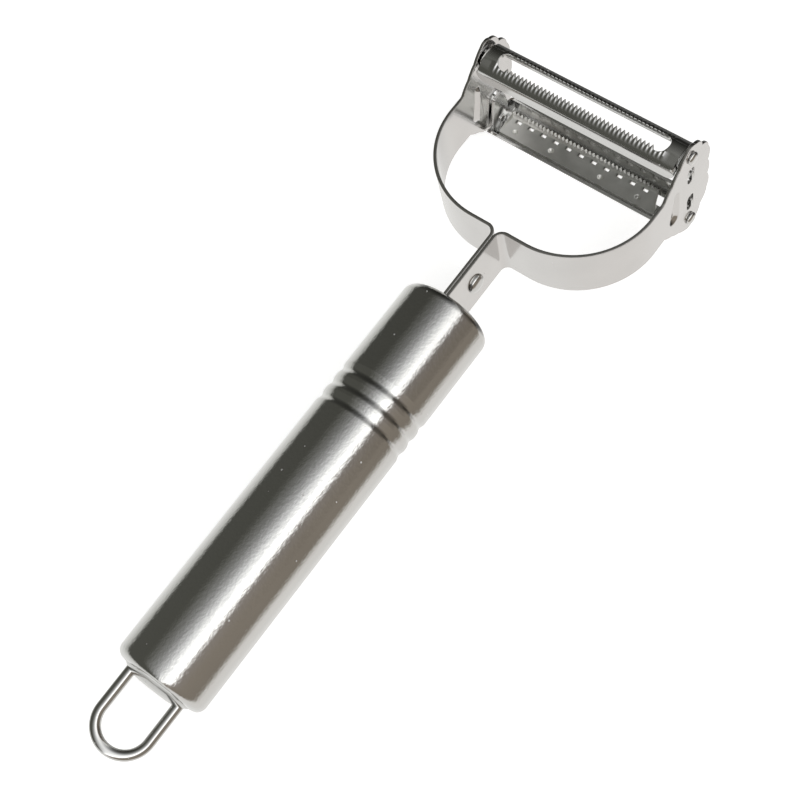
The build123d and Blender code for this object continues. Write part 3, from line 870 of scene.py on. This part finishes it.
def rounded_box(half_length, low, high, low_round, high_round, steps=10):
    """Closed outline of a strip with rounded corners, drawn anticlockwise."""
    return np.concatenate((
        arc((-half_length + low_round, low + low_round), low_round, 180, 270, steps),
        arc((half_length - low_round, low + low_round), low_round, 270, 360, steps),
        arc((half_length - high_round, high - high_round), high_round, 0, 90, steps),
        arc((-half_length + high_round, high - high_round), high_round, 90, 180, steps),
    ))


def slot_outline(half_length, near, far, near_depth, far_depth):
    """Clockwise loop of a round-ended slot whose two long edges are zigzags with one tooth for each pitch."""
    low, high = across_arch(near), across_arch(far)
    middle, half = (low + high) / 2, (high - low) / 2
    count = int((2 * half_length - 2 * half) / tooth_pitch)
    run = count * tooth_pitch / 2
    ends = np.linspace(0, pi, 24)
    right_end = np.column_stack((half_length - half + half * np.sin(ends), middle + half * np.cos(ends)))
    left_end = np.column_stack((-half_length + half - half * np.sin(ends), middle - half * np.cos(ends)))
    steps = np.arange(2 * count + 1)
    far_edge = np.column_stack((-run + steps * tooth_pitch / 2, high - far_depth * (steps % 2)))
    near_edge = np.column_stack((run - steps * tooth_pitch / 2, low + near_depth * (steps % 2)))
    if near_depth == 0:
        far_edge, near_edge = far_edge[[0, -1]], near_edge[[0, -1]]
    return np.concatenate((far_edge, right_end, near_edge, left_end))


# %% Bend a blade
# depth of the grinding marks, how far from the slot's edge they fade out, and how far past it they reach
near_mark_depth, near_mark_fade, near_mark_past = 0.28, 1.3, 1.1
far_mark_depth, far_mark_fade, far_mark_past = 0.15, 1.5, 0.4
section_length = 12.0


def ground_marks(along, across, near, far):
    """Depth of the grinding marks: V grooves, one for each tooth, fading out away from the slot's edges."""
    low, high = across_arch(near), across_arch(far)
    phase = np.abs((along / tooth_pitch) % 1 - 0.5) * 2
    below = np.clip(1 - (low - across) / near_mark_fade, 0, 1) * (across <= low + near_mark_past)
    above = np.clip(1 - (across - high) / far_mark_fade, 0, 1) * (across >= high - far_mark_past)
    return (near_mark_depth * below + far_mark_depth * above) * phase


def section(lengths, degrees_turned):
    """Path of a bent sheet's middle in the Y-Z plane, known by its slope angle at lengths from the crown.

    Adding up the cosines and sines of the slope gives the distance out and the drop.
    """
    length = np.linspace(0, section_length, 4001)
    angle = np.interp(length, lengths, np.radians(degrees_turned))
    out = np.cumsum(np.cos(angle)) * length[1]
    height = arch_center_z + arch_middle - np.cumsum(np.sin(angle)) * length[1]
    return length, angle, out, height


def bend_blade(near, far, marks, path):
    """Bend of a blank whose slot lies between near and far along the given section."""
    length, angle, out, height = path

    def bend(along, across, level):
        upper = np.clip(level / blade_thickness + 0.5, 0, 1)
        level = level - marks * upper * ground_marks(along, across, near, far)
        away = np.abs(across)
        slope = np.interp(away, length, angle)
        y = np.sign(across) * (np.interp(away, length, out) + level * np.sin(slope))
        z = np.interp(away, length, height) + level * np.cos(slope)
        return along, arch_y + y, z
    return bend


# %% Ears, tabs and the whole blade
# heights are above the head's middle, and half widths are to each side of the line of the pins
blade_corner_radius = 2.4
ear_foot_z, ear_foot_half, ear_half, ear_foot_radius = 3.5, 1.0, 3.0, 0.8
tab_low, tab_high, tab_thickness, tab_reach = 4.1, 7.1, 0.6, 0.5
ear_level = ear_outer_x - blade_thickness / 2 - 0.01
tab_half = (arm_outer_x + tab_reach - ear_inner_x) / 2
tab_middle = (arm_outer_x + tab_reach + ear_inner_x) / 2


def stand_up(along, across, level):
    """An ear stands square to the line of the pins, just inside the strip's end plate."""
    return ear_level + level, head_y + along, across


def lay_across(along, across, level):
    """A stop tab runs from the ear out through the slot of the end plate."""
    return tab_middle + along, head_y + level, across


def blade_shell(half_length, near, far, near_depth, far_depth, marks, path, near_reach, far_reach):
    """Arch, two ears and two stop tabs of one blade.

    The slot is half_length long to each side and lies between near and far in plan, with teeth of near_depth
    and far_depth. The sheet goes on along its bent section to near_reach and far_reach.
    """
    outline = rounded_box(ear_outer_x, -near_reach, far_reach, blade_corner_radius, blade_corner_radius)
    slot = slot_outline(half_length, near, far, near_depth, far_depth)
    filling = crossing(np.arange(-26, 26.1, 1.0), np.arange(-8.1, 10.2, 0.3))
    if marks:
        # closer points where the grinding marks are
        low, high = across_arch(near), across_arch(far)
        fine = np.arange(-half_length, half_length, tooth_pitch / 6)
        along, across = filling.T
        plain = (across < low - 1.4) | (across > high + 1.6) | (np.abs(along) > half_length)
        filling = np.concatenate((
            filling[plain],
            crossing(fine, np.arange(low - 1.35, low + 0.9, 0.16)),
            crossing(fine, np.arange(high - 0.2, high + 1.55, 0.16)),
        ))
    bend = bend_blade(near, far, marks, path)
    arch = sheet_shell([outline, slot], filling, blade_thickness, edge_rounding, bend, 0.07)
    foot_center_z = ear_foot_z + ear_foot_radius
    ear_outline = np.concatenate((
        arc((arch_y - head_y, arch_center_z), arch_middle, 46, 122, 24),
        np.array(((-ear_half, arch_center_z),)),
        arc((-ear_foot_half, foot_center_z), ear_foot_radius, 200, 270, 6),
        arc((ear_foot_half, foot_center_z), ear_foot_radius, 270, 340, 6),
        np.array(((ear_half, arch_center_z),)),
    ))
    ear_filling = crossing(np.arange(-3, 4, 0.7), np.arange(3, 15, 0.7))
    ear = sheet_shell([ear_outline], ear_filling, blade_thickness, edge_rounding, stand_up)
    tab_outline = rounded_box(tab_half, tab_low, tab_high, 0.25, 0.25, 4)
    tab = sheet_shell([tab_outline], np.zeros((0, 2)), tab_thickness, 0.1, lay_across)
    other_side = [facing_out(points * mirror_x, triangles) for points, triangles in (ear, tab)]
    return join(arch, ear, tab, *other_side)


# %% Peeling blade
arch_turn, skirt_turn = 50, 88
corner_radius = 1.5
skirt_length = 2.45
slot_end_gap = 3.1
arch_end = radians(arch_turn) * arch_middle
corner_end = arch_end + radians(skirt_turn - arch_turn) * (corner_radius - blade_thickness / 2)
skirt_reach = corner_end + skirt_length
peeling_shell = blade_shell(
    half_length=ear_inner_x - slot_end_gap, near=-2.4, far=2.4, near_depth=0.95, far_depth=0.16, marks=1,
    path=section((0, arch_end, corner_end), (0, arch_turn, skirt_turn)),
    near_reach=skirt_reach, far_reach=skirt_reach,
)
dress("peeling_blade_sheet", peeling_shell, "peeler", "blade_steel", ground_blade, "peeling_blade")

# %% Julienne blade
near_turn, far_turn = 75, 94
julienne_slot_end_gap = 2.3
julienne_shell = blade_shell(
    half_length=ear_inner_x - julienne_slot_end_gap, near=0.6, far=3.0, near_depth=0, far_depth=0, marks=0,
    path=section((0, pi * arch_middle), (0, 180)),
    near_reach=radians(near_turn) * arch_middle, far_reach=radians(far_turn) * arch_middle,
)
upside_down = np.array((1, 1, -1))
julienne_shell = facing_out(julienne_shell[0] * upside_down, julienne_shell[1])
dress("julienne_blade_sheet", julienne_shell, "julienne", "blade_steel", ground_blade, "julienne_blade")

# %% [markdown]
# ## Julienne comb
#
# A thin toothed sheet inside the lower arch: a flat web with eleven windows and four round weld pits, and a
# flange that follows the arch. Its right end is cut at a slant. From each window a small knife was bent out
# through the slot. The windows are holes in the blank, the pits are dents, and one knife, made once, is
# copied to all eleven places at once.

# %% Comb blank
comb_thickness = 0.4
comb_end_gap = 1.5
comb_half_length = ear_inner_x - slot_end_gap - comb_end_gap
comb_shift = -3.1
comb_slant = 1.9
comb_clearance = 0.05
comb_radius = arch_radius - blade_thickness - comb_clearance
web_half_width = 2.6
web_level = arch_center_z + np.sqrt(comb_radius**2 - web_half_width**2) - comb_thickness / 2
flange_radius = comb_radius - comb_thickness / 2
flange_start = np.arcsin(web_half_width / comb_radius)
flange_turn = 18
comb_edge = web_half_width + radians(flange_turn) * flange_radius
comb_corner_radius = 0.4
comb_tooth_pitch = 1.1
comb_tooth_depth = 0.8
knife_count = 11
knife_margin = 3.0
window_middle = 1.85
window_half = np.array((0.62, 0.38))
knife_places = comb_shift + np.linspace(-1, 1, knife_count) * (comb_half_length - knife_margin)

tooth_count = int(2 * comb_half_length / comb_tooth_pitch)
zigzag = np.arange(2 * tooth_count + 1)
tooth_line = np.column_stack((
    tooth_count * comb_tooth_pitch / 2 - zigzag * comb_tooth_pitch / 2,
    comb_edge - comb_tooth_depth * (zigzag % 2),
))
corner_y = -web_half_width + comb_corner_radius
comb_outline = np.concatenate((
    arc((-comb_half_length + comb_corner_radius, corner_y), comb_corner_radius, 180, 270, 4),
    arc((comb_half_length + comb_slant - comb_corner_radius, corner_y), comb_corner_radius, 270, 360, 4),
    tooth_line,
)) + (comb_shift, 0)
corners = np.array(((-1, -1), (-1, 1), (1, 1), (1, -1))) * window_half
windows = [corners + (place, window_middle) for place in knife_places]
print("windows in the comb:", len(windows))

# %% Bend the comb
weld_places = comb_shift + comb_half_length * np.array((-0.83, -0.336, 0.336, 0.83))
weld_offset = -0.75
pit_height = 0.55
pit_radius = 0.55
pit_level = 1.3


def bend_comb(along, across, level):
    """Flat web, then a flange that follows the arch, with round pits pressed towards the blade.

    A pit rises by pit_height times pit_level less the distance over pit_radius, held between 0 and 1.
    """
    pit = np.zeros_like(along)
    for place in weld_places:
        distance = np.hypot(along - place, across - weld_offset)
        pit += pit_height * np.clip(pit_level - distance / pit_radius, 0, 1)
    past = np.maximum(across - web_half_width, 0) / flange_radius
    angle = flange_start + past
    flat = across <= web_half_width
    radius = flange_radius + level
    y = np.where(flat, across, radius * np.sin(angle))
    z = np.where(flat, web_level + level + pit, arch_center_z + radius * np.cos(angle))
    return along, arch_y + y, -z


pit_grid = np.arange(-1.0, 1.01, 0.16)
comb_filling = np.concatenate((
    crossing(np.arange(-26, 20, 0.8), np.array((-2.2, -1.7, -1.2, -0.4, 0.2, 0.8, 2.5, 2.7, 2.95, 3.2))),
    *[crossing(place + pit_grid, weld_offset + pit_grid) for place in weld_places],
))
comb_shell = sheet_shell([comb_outline] + windows, comb_filling, comb_thickness, 0.05, bend_comb, 0.06)

# %% Knives
knife_height = 1.9
knife_near, knife_tip, knife_far = 1.35, 1.95, 2.35
knife_root, knife_heel = 0.2, 0.5
knife_top = web_level + knife_root + knife_height
knife_outline = np.array((
    (knife_near, web_level - knife_root), (knife_far, web_level - knife_root),
    (knife_far, knife_top), (knife_tip, knife_top), (knife_near, web_level + knife_heel),
))


def stand_knife(along, across, level):
    """A knife stands square to the web, across the slot, and points out of the head."""
    return knife_places[0] - window_half[0] - comb_thickness / 2 + level, arch_y + along, -across


no_filling = np.zeros((0, 2))
knife_points, knife_triangles = sheet_shell([knife_outline], no_filling, comb_thickness, 0.06, stand_knife)
steps_right = (knife_places - knife_places[0])[:, None, None] * np.array((1, 0, 0))
all_knives = (knife_points + steps_right).reshape(-1, 3)
all_triangles = knife_triangles + (np.arange(len(knife_places)) * len(knife_points))[:, None, None]
comb = join(comb_shell, (all_knives, all_triangles.reshape(-1, 3)))
dress("comb_and_knives", comb, "julienne", "comb_steel", dull_comb_painted_light, "julienne_comb")
